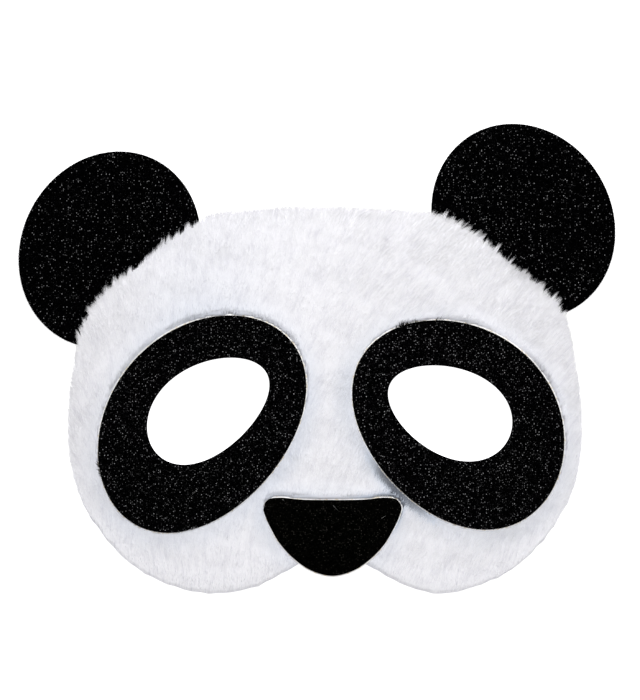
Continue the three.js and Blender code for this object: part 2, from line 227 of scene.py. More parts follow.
def ear_rim(side, along, out, lean, count=160):
    """An ellipse whose middle lies out of the face's rim, cut off at right angles to the way out."""
    rim = face_rim if side > 0 else np.roll(face_rim[::-1], 1, axis=0)
    travelled = np.concatenate([[0], np.cumsum(np.linalg.norm(np.diff(rim, axis=0), axis=1))])
    start, ahead = (
        np.array([np.interp(s, travelled, rim[:, k]) for k in (0, 1)]) for s in (along, along + 1)
    )
    tangent = (ahead - start) / np.linalg.norm(ahead - start)
    outward = np.array([-tangent[1], tangent[0]]) * side
    turn = math.radians(lean)
    axis = np.array([-side * math.sin(turn), math.cos(turn)])
    angle = -np.linspace(0, 2 * math.pi, count, endpoint=False)
    ellipse = EAR_LENGTH / 2 * np.cos(angle)[:, None] * axis
    ellipse = ellipse + EAR_WIDTH / 2 * np.sin(angle)[:, None] * np.array([-axis[1], axis[0]])
    beyond_cut = np.maximum(-ellipse @ outward - (out + EAR_TUCK), 0)
    return even_steps(ellipse + beyond_cut[:, None] * outward, count), axis, outward


def moved_to_node(rim, node):
    """The outline, moved so that its box has the same middle as the solid, and how far it was moved."""
    middle = node_box(node).mean(axis=0)[:2] - MIDDLE[:2]
    shift = middle - (rim.min(axis=0) + rim.max(axis=0)) / 2
    return rim + shift, shift


# %% Place them
patch_rim, hole_rim, ear_outline, ear_place = {}, {}, {}, {}
for side, name in NAMES.items():
    patch_rim[side], patch_middle = moved_to_node(egg_rim(side, **PATCHES[side]), f"eye_patch_{name}")
    hole = {key: value for key, value in HOLES[side].items() if key not in ("inward", "above")}
    hole_middle = patch_middle + (-side * HOLES[side]["inward"], HOLES[side]["above"])
    hole_rim[side] = egg_rim(side, **hole) + hole_middle
    outline, axis, outward = ear_rim(side, **EARS[side])
    ear_outline[side], ear_middle = moved_to_node(outline, f"ear_{name}")
    ear_place[side] = (ear_middle, axis, outward, EARS[side]["out"] + EAR_TUCK)
    print(name, "patch:", patch_middle.round(1), "hole:", hole_middle.round(1), "ear:", ear_middle.round(1))

# %% [markdown]
# ## Heights above the table
# The sheet lies on two flat strips at its sides and arches up between them, with a rise round the nose.
# These are the same heights as the solid's, so every cloth below lies where its solid is.

# %% The arch
ARCH_RISE, REST_STRIP, ARCH_BLEND = 22, 16, 0.2
NOSE_RISE, NOSE_RISE_REACH = 7, 28
BACKING, PILE, PRESSED_PILE, SHEET_GAP = 2, 5, 1, 0.3
EAR_THICKNESS, PATCH_THICKNESS, NOSE_THICKNESS = 2.6, 2.4, 2.2


def arch_height(x, y):
    """The underside of a sheet over the face: a parabola across, blended into nought, higher at the nose."""
    parabola = 1 - (x / (FACE_WIDTH / 2 - REST_STRIP)) ** 2
    blend = np.maximum(ARCH_BLEND - np.abs(parabola), 0) ** 2 / (4 * ARCH_BLEND)
    from_nose = np.hypot(x - NOSE_ACROSS, y - (NOSE_TOP - NOSE_HEIGHT / 2)) / NOSE_RISE_REACH
    return (np.maximum(parabola, 0) + blend) * (ARCH_RISE + NOSE_RISE * np.exp(-(from_nose**2)))


def slope_stretch(x, y):
    """How much taller than its own thickness a sheet stands where it slopes."""
    across = arch_height(x + 0.5, y) - arch_height(x - 0.5, y)
    up = arch_height(x, y + 0.5) - arch_height(x, y - 0.5)
    return np.sqrt(1 + across**2 + up**2)


def ease(value, start, end):
    """0 before the start, 1 after the end, and a smooth cubic between them."""
    t = np.clip((value - start) / (end - start), 0, 1)
    return t * t * (3 - 2 * t)


def plush_underside(x, y):
    """The arch, lifted by an ear's thickness where an ear is tucked behind the plush."""
    cover = np.zeros(np.shape(x))
    for middle, axis, outward, cut in ear_place.values():
        dx, dy = x - middle[0], y - middle[1]
        along = (dx * axis[0] + dy * axis[1]) / (EAR_LENGTH / 2)
        across = (dy * axis[0] - dx * axis[1]) / (EAR_WIDTH / 2)
        beyond_edge = (np.hypot(along, across) - 1) * EAR_WIDTH / 2
        beyond_cut = -(dx * outward[0] + dy * outward[1]) - cut
        cover = np.maximum(cover, 1 - ease(np.maximum(beyond_edge, beyond_cut), 9, 17))
    return arch_height(x, y) + (EAR_THICKNESS + SHEET_GAP) * cover * slope_stretch(x, y)


def on_seat(x, y):
    """Where the patches and the nose lie: on the backing and the pile that they press flat."""
    return plush_underside(x, y) + (BACKING + PRESSED_PILE + SHEET_GAP) * slope_stretch(x, y)


print("arch at the middle of the forehead:", arch_height(np.array(0.0), np.array(40.0)).round(1), "mm")

# %% [markdown]
# ## Distances from the outlines
# The pile is long in the open, short along the rim and pressed down at the patches, so the distance to
# each outline is needed at a great many places. It is measured once at every half millimetre of a map,
# and later read from the map in between.

# %% Distance maps
MAP_STEP = 0.5
MAP_LOW = np.array([-110.0, -85.0])
MAP_SHAPE = (441, 361)
map_x, map_y = np.meshgrid(*(MAP_LOW[k] + MAP_STEP * np.arange(MAP_SHAPE[k]) for k in (0, 1)), indexing="ij")


def depth_inside(points, rim):
    """How deep each point lies inside an outline, negative outside it.

    Its size is the distance to the nearest point on any edge. Its sign comes from how many edges a ray to
    the right crosses, because that number is odd inside.
    """
    a, b = rim[None], np.roll(rim, -1, axis=0)[None]
    edge = b - a
    p = points[:, None, :]
    t = np.clip(((p - a) * edge).sum(axis=2) / (edge**2).sum(axis=2), 0, 1)
    distance = np.sqrt((((p - a) - t[..., None] * edge) ** 2).sum(axis=2)).min(axis=1)
    between = (a[..., 1] > p[..., 1]) != (b[..., 1] > p[..., 1])
    rise = np.where(edge[..., 1] == 0, 1, edge[..., 1])
    crossing = a[..., 0] + (p[..., 1] - a[..., 1]) / rise * edge[..., 0]
    inside = (between & (p[..., 0] < crossing)).sum(axis=1) % 2 == 1
    return np.where(inside, distance, -distance)


def depth_map(rim):
    """The depth inside an outline at every point of the map."""
    points = np.stack([map_x.ravel(), map_y.ravel()], axis=1)
    parts = [depth_inside(chunk, rim[::2]) for chunk in np.array_split(points, 40)]
    return np.concatenate(parts).reshape(MAP_SHAPE)


def read_map(values, x, y):
    """A map's value at any place, blended from the four map points round it."""
    u = np.clip((x - MAP_LOW[0]) / MAP_STEP, 0, MAP_SHAPE[0] - 1.001)
    v = np.clip((y - MAP_LOW[1]) / MAP_STEP, 0, MAP_SHAPE[1] - 1.001)
    i, j = u.astype(int), v.astype(int)
    u, v = u - i, v - j
    lower = values[i, j] * (1 - u) + values[i + 1, j] * u
    upper = values[i, j + 1] * (1 - u) + values[i + 1, j + 1] * u
    return lower * (1 - v) + upper * v


def gentle_noise(x, y, seed, size):
    """A smooth random surface between about -1 and 1: eight waves of that size in random directions."""
    draws = np.random.default_rng(seed)
    total = np.zeros(np.shape(x))
    for turn, phase, pitch in draws.random((8, 3)):
        wave = 2 * math.pi / (size * (0.7 + 0.6 * pitch))
        total += np.sin(wave * (x * math.cos(turn * math.pi) + y * math.sin(turn * math.pi)) + phase * 6.28)
    return total / 3.2


# %% [markdown]
# The pile lies upwards, so it hangs over the rim of its backing at the top and hardly at all at the bottom,
# and the cut wavers a little. The pale core of the patches and the nose sticks out past their black nap.
# Each of these edges gets a map, and where two pieces press the pile, the deeper one counts.

# %% Maps of the edges
OVERHANG, OVERHANG_BELOW = 1.8, 0.1
RIM_WAVER, WAVER_SIZE = 0.45, 6
CORE_LEDGE = 0.42

face_map = depth_map(face_rim)
overhang = OVERHANG_BELOW + (1 - OVERHANG_BELOW) * ease(-normals_in(face_rim)[:, 1], -0.6, 0.7)
inset = OVERHANG * overhang + RIM_WAVER * (1 + gentle_noise(*face_rim.T, 12, WAVER_SIZE)) / 2
cloth_map = depth_map(moved_in(face_rim, inset))
core_rim = {side: moved_in(rim, -CORE_LEDGE) for side, rim in patch_rim.items()}
nose_core_rim = moved_in(nose_rim, -CORE_LEDGE)
pressed_map = np.max([depth_map(rim) for rim in (*core_rim.values(), nose_core_rim)], axis=0)
hole_map = np.max([depth_map(rim) for rim in hole_rim.values()], axis=0)
ear_map = np.max([depth_map(rim) for rim in ear_outline.values()], axis=0)
print("deepest point of the face is", face_map.max().round(1), "mm from its rim")

# %% [markdown]
# ## Making meshes and materials
# One helper turns arrays into an object whose place is in its mesh. Its faces may carry two materials, and
# its points may carry numbers that a material reads as attributes, such as how far along a fibre they are.

# %% Helpers


def make_piece(name, points, faces, materials, smooth=True, attributes=None, material_index=None):
    """An object from points in millimetres round the middle of the face, and faces of one size."""
    mesh = bpy.data.meshes.new(name)
    corners = faces.shape[1]
    mesh.vertices.add(len(points))
    mesh.vertices.foreach_set("co", ((points + MIDDLE) * MM).astype(np.float32).ravel())
    mesh.loops.add(faces.size)
    mesh.loops.foreach_set("vertex_index", faces.astype(np.int32).ravel())
    mesh.polygons.add(len(faces))
    mesh.polygons.foreach_set("loop_start", np.arange(0, faces.size, corners, dtype=np.int32))
    if material_index is not None:
        mesh.polygons.foreach_set("material_index", material_index.astype(np.int32))
    for key, values in (attributes or {}).items():
        mesh.attributes.new(key, "FLOAT", "POINT").data.foreach_set("value", values.astype(np.float32))
    mesh.update(calc_edges=True)
    if smooth:
        mesh.shade_smooth()
    for material in materials:
        mesh.materials.append(material)
    piece = bpy.data.objects.new(name, mesh)
    bpy.context.scene.collection.objects.link(piece)
    print(name, "has", sum(len(p.vertices) - 2 for p in mesh.polygons), "triangles")
    return piece


def new_material(name, roughness, sheen=0.0, specular=0.5):
    """A cloth material with nothing linked yet, and its shader."""
    material = bpy.data.materials.new(name)
    material.use_nodes = True
    shader = material.node_tree.nodes["Principled BSDF"]
    shader.inputs["Roughness"].default_value = roughness
    shader.inputs["Sheen Weight"].default_value = sheen
    shader.inputs["Specular IOR Level"].default_value = specular
    return material, shader


def node(material, kind, inputs=None, **settings):
    """A shader node with its settings, whose inputs are either values or another node's outputs."""
    made = material.node_tree.nodes.new(kind)
    for key, value in settings.items():
        setattr(made, key, value)
    for key, value in (inputs or {}).items():
        if isinstance(value, bpy.types.NodeSocket):
            material.node_tree.links.new(value, made.inputs[key])
        else:
            made.inputs[key].default_value = value
    return made


def connect(material, output, socket):
    """A link from one node's output to another's input."""
    material.node_tree.links.new(output, socket)


def colour_between(material, factor, first, second):
    """A blend of two colours by a factor from 0 to 1."""
    mix = node(material, "ShaderNodeMix", {"Factor": factor}, data_type="RGBA")
    for socket, value in ((mix.inputs[6], first), (mix.inputs[7], second)):
        if isinstance(value, bpy.types.NodeSocket):
            connect(material, value, socket)
        else:
            socket.default_value = (*value, 1)
    return mix.outputs[2]


def rescaled(material, value, low, high, to_low=0.0, to_high=1.0):
    """A number carried from one range to another, and kept within it."""
    ranged = node(
        material, "ShaderNodeMapRange",
        {"Value": value, "From Min": low, "From Max": high, "To Min": to_low, "To Max": to_high},
    )
    return ranged.outputs[0]


# %% [markdown]
# ## The white plush
# Plush has a knitted backing and a pile that is brushed into small tufts. Real hair curves would look
# right but can't be kept as a solid mesh, so the pile is made twice: a body that fills it, whose top is
# lumpy, and many thin closed spikes that grow out of it. Both read the same colours: a white that goes
# faintly lilac at random and, as painted shade, towards the roots and between the fibres, bluish in a soft
# painted shade and nearly black in a deep one.

# %% White plush material
WHITE, LILAC = (0.96, 0.952, 0.99), (0.75, 0.74, 0.80)
BLUE_SHADE, DEEP_SHADE = (0.52, 0.60, 0.73), (0.05, 0.06, 0.08)
LOOP_GAP, LOOP = (0.42, 0.41, 0.42), (0.66, 0.65, 0.66)
CLOUDS, RIBS, ROWS = 190.0, 260.0, 340.0


def plush_material():
    """White pile: its own tint on each fibre, a lilac painted shade at the root and darker painted shade."""
    material, shader = new_material("white_plush_pile", roughness=0.85, sheen=0.25, specular=0.25)
    place = node(material, "ShaderNodeTexCoord").outputs["Object"]
    patches = node(material, "ShaderNodeTexNoise", {"Vector": place, "Scale": CLOUDS, "Detail": 3.0})
    along = node(material, "ShaderNodeAttribute", attribute_name="along").outputs["Fac"]
    tint = node(material, "ShaderNodeAttribute", attribute_name="tint").outputs["Fac"]
    clouded = node(
        material, "ShaderNodeMath",
        {0: rescaled(material, patches.outputs[0], 0.35, 0.65, -0.15, 0.15), 1: tint}, operation="ADD",
    )
    # Painted shade: a fibre is more lilac towards its root, where real pile lies in the shade of the fibres
    # round it.
    height = node(
        material, "ShaderNodeMath",
        {0: clouded.outputs[0], 1: rescaled(material, along, 0, 0.7, 0.0, 0.55)}, operation="ADD",
    )
    colour = colour_between(material, rescaled(material, height.outputs[0], 0, 1), LILAC, WHITE)
    shade = node(material, "ShaderNodeAttribute", attribute_name="shade").outputs["Fac"]
    soft = colour_between(material, rescaled(material, shade, 0, 0.3, 0, 0.7), colour, BLUE_SHADE)
    shaded = colour_between(material, rescaled(material, shade, 0.3, 1, 0, 0.9), soft, DEEP_SHADE)
    connect(material, shaded, shader.inputs["Base Color"])
    return material


def backing_material():
    """The knitted back of the plush: fine ribs of loops, slightly grey."""
    material, shader = new_material("knitted_backing", roughness=0.9, specular=0.2)
    place = node(material, "ShaderNodeTexCoord").outputs["Object"]
    ribs = node(material, "ShaderNodeTexWave", {"Vector": place, "Scale": RIBS, "Distortion": 1.5})
    rows = node(
        material, "ShaderNodeTexWave", {"Vector": place, "Scale": ROWS, "Distortion": 2.0},
        bands_direction="Y",
    )
    loops = node(
        material, "ShaderNodeMath", {0: ribs.outputs["Fac"], 1: rows.outputs["Fac"]}, operation="MULTIPLY",
    )
    colour = colour_between(material, loops.outputs[0], LOOP_GAP, LOOP)
    connect(material, colour, shader.inputs["Base Color"])
    bump = node(
        material, "ShaderNodeBump", {"Height": loops.outputs[0], "Distance": 0.0003, "Strength": 0.7},
    )
    connect(material, bump.outputs[0], shader.inputs["Normal"])
    return material


plush, backing_cloth = plush_material(), backing_material()

# %% [markdown]
# ## How high and which way the pile lies
# The pile lies up the face, to the left at its left side, nearly straight up above the left eye, and more
# and more to the right beyond it. Its top is rounded off at the rim. Beside the patches and the nose it dips
# a little where they press it down, and a faint bluish shade lies on it there. It gets dark only where the
# right patch stands proud beside the nose. The shade could be left to the lamp, but a lamp that is soft
# enough for the rest of the picture leaves none, so it is a number that every fibre carries.

# %% The lie of the pile
RIM_ROUNDING, RIM_PILE, DROOP, LEAST_LIFT = 8, 0.3, 0.75, 0.4
DIP_DEPTH, DIP_BELOW, DIP_WIDTH = 0.8, 0.8, 3.2
TUCK_PRESS = 0.45
SHADE, SHADE_WIDTH = 0.09, 5
# Each shadow's place across and up, its size, its strength and how far from the edge it reaches
SHADOWS = (
    (21.5, -27.5, 9, 0.9, 0.9),
    (21.5, -27.5, 10, 0.2, 2.6),
    (31, -36, 7, 0.6, 0.7),
    (-24, -10, 26, 0.1, 7),
    (-48, 34, 24, 0.08, 14),
    (6, 5, 14, 0.05, 5),
    (-62, -32, 12, 0.04, 4),
    (-42, 48, 26, 0.035, 99),
    (-14, -36, 8, 0.1, 5),
)
LIE_ACROSS = np.array([-84, -72, -45, -22, -2, 15, 28, 40, 66, 88])
LIE_LEAN = np.radians([-38, -8, 5, 11, 22, 35, 41, 39, 37, 48])
CHEEK_LEAN, FOREHEAD_LEAN = 0.55, 0.45
SLOW_WAVER, QUICK_WAVER = math.radians(7), math.radians(6)


def pile_top(x, y):
    """The height of the tips above the table.

    The pile is rounded by a quarter circle at the rim, dips at what presses it, droops beyond the rim and
    is pressed a little thinner over the ears.
    """
    depth = read_map(face_map, x, y)
    inward = np.clip(depth / RIM_ROUNDING, 0, 1)
    rounding = RIM_PILE + (1 - RIM_PILE) * np.sqrt(1 - (1 - inward) ** 2)
    tucked = plush_underside(x, y) - arch_height(x, y)
    droop = np.maximum(-depth, 0) * DROOP
    above_cloth = BACKING + PILE * rounding - pressed_dip(x, y) - droop
    lift = above_cloth * slope_stretch(x, y) - TUCK_PRESS * tucked
    return plush_underside(x, y) + np.maximum(lift, LEAST_LIFT)


def pressed_dip(x, y):
    """How far the pile dips towards the patches and nose: a bell round their edge, deeper above them."""
    beside = read_map(pressed_map, x, y)
    depth = DIP_DEPTH * (DIP_BELOW + (1 - DIP_BELOW) * above_pressed(x, y))
    return depth * np.exp(-((beside / DIP_WIDTH) ** 2))


def above_pressed(x, y):
    """1 where a patch or the nose lies below a place on the face, and 0 where it lies above it."""
    return ease(read_map(pressed_map, x, y - 1) - read_map(pressed_map, x, y + 1), -0.5, 1.2)


def patch_shade(x, y):
    """How shaded the pile is: a faint band along the patches, and the shadows of the table.

    Band and shadows are bells: they fall off with the square of the distance over their width or size.
    """
    beside = np.maximum(-read_map(pressed_map, x, y), 0)
    shade = SHADE * np.exp(-((beside / SHADE_WIDTH) ** 2))
    for across, up, size, strength, reach in SHADOWS:
        near = np.exp(-((x - across) ** 2 + (y - up) ** 2) / size**2)
        shade = shade + strength * near * np.exp(-((beside / reach) ** 2))
    return np.minimum(shade, 1)


def pile_lean(x, y):
    """How far the pile leans to the right of straight up, in radians: less on the cheeks, and wavering."""
    lean = np.interp(x, LIE_ACROSS, LIE_LEAN) * (CHEEK_LEAN + FOREHEAD_LEAN * ease(y, -40, 20))
    waver = SLOW_WAVER * gentle_noise(x, y, 3, 34) + QUICK_WAVER * gentle_noise(x, y, 5, 10)
    return lean + waver


print("pile at the forehead stands", pile_top(np.array([0.0]), np.array([45.0])).round(1), "mm high")

# %% [markdown]
# ## Tufts
# Fibres gather into tufts a couple of millimetres apart. The tuft of any place is the nearest of a grid of
# points that have each been pushed aside at random. A tuft pulls the tips of its fibres together and gives
# them a length and a turn of their own. The body under them has wider, softer lumps.

# %% Tufts
TUFT_SIZE = 1.8
TUFT_GRID = (136, 104)
tuft_push = dice.random((*TUFT_GRID, 2))
tuft_random = dice.random((*TUFT_GRID, 3))


def nearest_tuft(x, y):
    """The middle of the nearest tuft, and three random numbers of its own."""
    u, v = x / TUFT_SIZE + TUFT_GRID[0] / 2, y / TUFT_SIZE + TUFT_GRID[1] / 2
    best = np.full(np.shape(x), np.inf)
    middle, randoms = np.zeros((*np.shape(x), 2)), np.zeros((*np.shape(x), 3))
    for i, j in np.ndindex(3, 3):
        row = np.clip(np.floor(u).astype(int) + i - 1, 0, TUFT_GRID[0] - 1)
        column = np.clip(np.floor(v).astype(int) + j - 1, 0, TUFT_GRID[1] - 1)
        place = np.stack([row, column], axis=-1) + tuft_push[row, column]
        distance = np.hypot(place[..., 0] - u, place[..., 1] - v)
        nearer = distance < best
        best = np.where(nearer, distance, best)
        middle = np.where(nearer[..., None], place, middle)
        randoms = np.where(nearer[..., None], tuft_random[row, column], randoms)
    return (middle - np.array(TUFT_GRID) / 2) * TUFT_SIZE, randoms


# %% The body of the pile
UNDER_TIPS, WIDE_LUMPS, SMALL_LUMPS = 0.6, 0.3, 0.15
LEAST_PILE, PRESSED_BODY = 0.2, 0.8
PRESSED_FROM, PRESSED_TO = -0.1, 0.8


def body_top(x, y):
    """The top of the pile's body: just under the tips, with lumps of two sizes, and low where pressed."""
    lumps = WIDE_LUMPS * gentle_noise(x, y, 8, 17), SMALL_LUMPS * gentle_noise(x, y, 9, 6)
    under_tips = UNDER_TIPS - lumps[0] - lumps[1]
    depth = read_map(face_map, x, y)
    cloth = plush_underside(x, y) + BACKING * slope_stretch(x, y)
    free = np.maximum(pile_top(x, y) - under_tips * (0.4 + 0.6 * ease(depth, 0, 5)), cloth + LEAST_PILE)
    pressed = ease(read_map(pressed_map, x, y), PRESSED_FROM, PRESSED_TO)
    return free + (cloth + PRESSED_BODY * PRESSED_PILE - free) * pressed


print("body of the pile there:", body_top(np.array([0.0]), np.array([45.0])).round(1), "mm high")

# %% [markdown]
# ## The sheet of plush
# A grid over the face is kept where it lies inside the outline and outside the eye holes, and the points
# along its edge are pulled onto the outlines. A copy below it at the back of the cloth, and a wall round
# the edges, close it.

# %% The cloth of the face
CLOTH_STEP = 0.9
CLOTH_LOW, CLOTH_HIGH = (-92, -70), (96, 70)
HOLE_MARGIN = 1
PROBE = 0.3
# Painted shade: the body between the fibres is as lilac as a fibre part way up from its root.
BODY_ALONG, BODY_TINT = 0.45, 0.2


def cloth_depth(x, y):
    """How deep a place lies inside the cloth, which ends a little inside the pile's rim and at the holes."""
    return np.minimum(read_map(cloth_map, x, y), -read_map(hole_map, x, y) - HOLE_MARGIN)


def flat_cloth():
    """Points and squares of the flat cloth, with its edge points pulled onto the outlines.

    A point moves along the steepest way down of the depth, by its own depth.
    """
    across, up = (np.arange(CLOTH_LOW[k], CLOTH_HIGH[k], CLOTH_STEP) for k in (0, 1))
    x, y = np.meshgrid(across, up, indexing="ij")
    number = np.arange(x.size).reshape(x.shape)
    corners = (number[:-1, :-1], number[1:, :-1], number[1:, 1:], number[:-1, 1:])
    squares = np.stack(corners, axis=-1).reshape(-1, 4)
    points = np.stack([x.ravel(), y.ravel()], axis=1)
    depth = cloth_depth(*points.T)
    squares = squares[(depth[squares] > -0.45 * CLOTH_STEP).all(axis=1)]
    at_edge = np.zeros(len(points), bool)
    at_edge[open_edges(squares)] = True
    for _ in range(3):
        depth = cloth_depth(*points.T)
        x, y = points.T
        slope = np.stack([
            cloth_depth(x + PROBE, y) - cloth_depth(x - PROBE, y),
            cloth_depth(x, y + PROBE) - cloth_depth(x, y - PROBE),
        ], axis=1)
        slope /= np.maximum(np.linalg.norm(slope, axis=1, keepdims=True), 1e-6)
        points = np.where(at_edge[:, None], points - slope * depth[:, None], points)
    used, squares = np.unique(squares, return_inverse=True)
    return points[used], squares.reshape(-1, 4)


def open_edges(faces):
    """The edges, from point to point, that belong to one face only."""
    edges = np.stack([faces, np.roll(faces, -1, axis=1)], axis=-1).reshape(-1, 2)
    ends = np.sort(edges, axis=1)
    key = ends[:, 0] * (faces.max() + 1) + ends[:, 1]
    _, first, count = np.unique(key, return_index=True, return_counts=True)
    return edges[first[count == 1]]


def face_cloth():
    """The cloth of the face: the body of its pile, its back, and the walls round it."""
    flat, squares = flat_cloth()
    x, y = flat.T
    top = np.column_stack([flat, body_top(x, y)])
    back = np.column_stack([flat, plush_underside(x, y)])
    rim = open_edges(squares)
    count = len(flat)
    walls = np.column_stack([rim[:, 1], rim[:, 0], rim[:, 0] + count, rim[:, 1] + count])
    faces = np.vstack([squares, squares[:, ::-1] + count, walls])
    kinds = np.repeat([0, 1, 0], [len(squares), len(squares), len(walls)])
    along = np.concatenate([np.full(count, BODY_ALONG), np.zeros(count)])
    tint = np.concatenate([BODY_TINT + 0.1 * gentle_noise(x, y, 4, 5), np.full(count, BODY_TINT)])
    shade = np.concatenate([patch_shade(x, y), np.zeros(count)])
    print("area of the face's cloth, m2:", round(area_of(back, squares) * MM * MM, 5))
    return make_piece(
        "plush_cloth", np.vstack([top, back]), faces, [plush, backing_cloth],
        attributes={"along": along, "tint": tint, "shade": shade}, material_index=kinds,
    )


def area_of(points, squares):
    """The area of a mesh of four-sided faces: half the cross product of their diagonals."""
    a, b, c, d = (points[squares[:, k]] for k in range(4))
    return np.linalg.norm(np.cross(c - a, d - b), axis=1).sum() / 2


plush_cloth = face_cloth()

# %% [markdown]
# ## Fibres
# A fibre is a closed spike with three sides: a small triangle at its root, and a tip. A hundred and seventy
# thousand of them have to stay light, so it has only four faces. They are all made at once from two arrays,
# the roots and the tips.

# %% Spikes
SPIKE_ROLL = math.radians(14)


def spikes(name, roots, tips, widths, tints, shades, material):
    """Closed three-sided spikes from their roots to their tips, as one piece.

    Two directions at right angles to each spike, found with cross products, carry the triangle at its root.
    One side of the triangle is on top, rolled a little at random, so that the pile catches the light evenly.
    """
    line = tips - roots
    line = line / np.linalg.norm(line, axis=1, keepdims=True)
    aside = np.cross(line, np.array([0.0, 0.0, 1.0]) + 0.01 * line[:, ::-1])
    aside /= np.linalg.norm(aside, axis=1, keepdims=True)
    over = np.cross(aside, line)
    roll = dice.normal(0, SPIKE_ROLL, len(roots))
    angle = np.linspace(0, 2 * math.pi, 3, endpoint=False)[None] + math.pi / 6 + roll[:, None]
    ring = roots[:, None] + widths[:, None, None] / 2 * (
        np.cos(angle)[..., None] * aside[:, None] + np.sin(angle)[..., None] * over[:, None]
    )
    points = np.concatenate([ring, tips[:, None]], axis=1).reshape(-1, 3)
    corner = 4 * np.arange(len(roots))[:, None, None]
    faces = (corner + np.array([[0, 1, 2], [1, 0, 3], [2, 1, 3], [0, 2, 3]])).reshape(-1, 3)
    along = np.tile([0.0, 0.0, 0.0, 1.0], len(roots))
    return make_piece(
        name, points, faces, [material], smooth=False,
        attributes={"along": along, "tint": np.repeat(tints, 4), "shade": np.repeat(shades, 4)},
    )


# %% [markdown]
# ## The pile
# Roots are spread evenly over the open plush with a little disorder. Each tip goes up the lie of the pile,
# and partly towards the tip of its tuft, so the fibres end in small pointed wisps, above all at the ears.
# Next to the patches a fibre that would cross the edge is cut short, apart from a few that lap over it as on
# the real one. Real fibres are so thin that light passes through them, so these cast no shadow and throw no
# light on each other. Otherwise the gaps between them would turn grey.

# %% Helpers for the pile
STREAK_CELL, STREAK_LENGTH, STREAK_STEPS = 0.36, 3.6, 12
STREAK_GRID = (700, 560)


def scattered(spacing, low, high):
    """Places on a grid of that spacing, each pushed aside at random within its square."""
    across, up = (np.arange(low[k], high[k], spacing) for k in (0, 1))
    x, y = np.meshgrid(across, up, indexing="ij")
    places = np.stack([x.ravel(), y.ravel()], axis=1)
    return places + dice.uniform(-0.5, 0.5, places.shape) * spacing


def near_spots(x, y, spots):
    """1 in the middle of each round spot of a table, falling off smoothly over its radius."""
    near = [np.exp(-((x - across) ** 2 + (y - up) ** 2) / size**2) for across, up, size in spots]
    return np.max(near, axis=0)


def streaks(x, y):
    """Random light and dark streaks along the lie of the pile, between about -1 and 1.

    Each place takes the mean of random values, one for each small square, along a short line up the lie.
    """
    squares = np.random.default_rng(6).uniform(-1, 1, STREAK_GRID)
    lean = pile_lean(x, y)
    total = np.zeros(np.shape(x))
    for step in np.linspace(-STREAK_LENGTH / 2, STREAK_LENGTH / 2, STREAK_STEPS):
        column = ((x + step * np.sin(lean)) / STREAK_CELL + STREAK_GRID[0] / 2).astype(int)
        row = ((y + step * np.cos(lean)) / STREAK_CELL + STREAK_GRID[1] / 2).astype(int)
        total += squares[column, row]
    return total / math.sqrt(STREAK_STEPS)


def way_of(lean):
    """The direction that leans so far to the right of straight up."""
    return np.stack([np.sin(lean), np.cos(lean)], axis=1)


def shortened(root, tip, values, allowed):
    """The tips, drawn back towards their roots where they lie more than the allowed depth into a map."""
    for _ in range(4):
        excess = np.maximum(read_map(values, *tip.T) - allowed, 0)
        length = np.linalg.norm(tip - root, axis=1)
        share = np.clip(1 - excess / np.maximum(length, 0.1), 0.12, 1)
        tip = root + (tip - root) * share[:, None]
    return tip


# %% Roots and tips of the pile
PILE_PIECES = 4
FIBRE_SPACING, FIBRE_LENGTH = 0.242, 4.0
FIBRE_WIDTHS, FIBRE_RISES = (0.17, 0.32), (0.05, 0.45)
STRAY_TURN, TUFT_TURN = math.radians(9), math.radians(8)
LENGTH_SPREAD, SHORT_BELOW = (0.6, 1.25), 0.62
GATHER, WISP_GATHER = (0.0, 0.25), (0.15, 0.75)
ROOT_DEPTH, CLEARANCE = 0.2, 0.08
# Spots where the pile is tangled with the frayed edge of a patch, and a tuft that reaches over the right ear
TANGLES = ((-77, -23, 3), (26, 25.5, 3), (-46.5, -44.5, 3), (-35.8, 34.5, 1.5))
EAR_TUFT = (39.4, 62.5, 2.2)
LAPPING_SHARE, LAP, TANGLED_LAP, PATCH_TRIM = 0.02, 0.6, 1.5, (-0.4, 0.05)
REACH_LEFT, REACH_RIGHT, TUFT_REACH, EAR_TUFT_REACH = -2.2, -1.2, 4.2, 1.3
STRAY_SHARE, STRAY_REACH, WISP_TRIM = 0.06, 1.3, (-0.35, 0.35)
RIM_REACH, RIM_TRIM = 0.15, (-0.3, 0.25)
FIBRE_TINT, STREAK_TINT, RIM_PAINTED_LIGHT, EDGE_PAINTED_HIGHLIGHT = 0.36, 0.5, 0.35, 0.25


def leaning_tips(places, depth, wisp, tuft, randoms):
    """Tips up the lie of the pile, turned a little by their tuft and by chance, and drawn to the tuft's tip.

    A fibre's own tip is its root and its length along its lean. It gives way to the tip of the tuft by a
    random share, which is larger in the wisps. At the bottom rim the fibres are short.
    """
    count = len(places)
    x, y = places.T
    stray = STRAY_TURN * dice.normal(0, 1, count)
    tuft_turn = TUFT_TURN * (randoms[:, 0] - 0.5) * (1 + 2 * wisp)
    lean = pile_lean(x, y) + stray + tuft_turn
    bottom = ease(-y, 30, 62) * (1 - ease(depth, 2, 9))
    length = FIBRE_LENGTH * (0.9 + 0.2 * randoms[:, 1]) * dice.uniform(*LENGTH_SPREAD, count)
    length = length * (1 - SHORT_BELOW * bottom)
    tuft_way = way_of(pile_lean(*tuft.T) + tuft_turn)
    tuft_tip = tuft + tuft_way * (FIBRE_LENGTH * (0.75 + 0.5 * randoms[:, 1]))[:, None]
    gather = (dice.uniform(*GATHER, count) + wisp * dice.uniform(*WISP_GATHER, count))[:, None]
    return (places + way_of(lean) * length[:, None]) * (1 - gather) + tuft_tip * gather


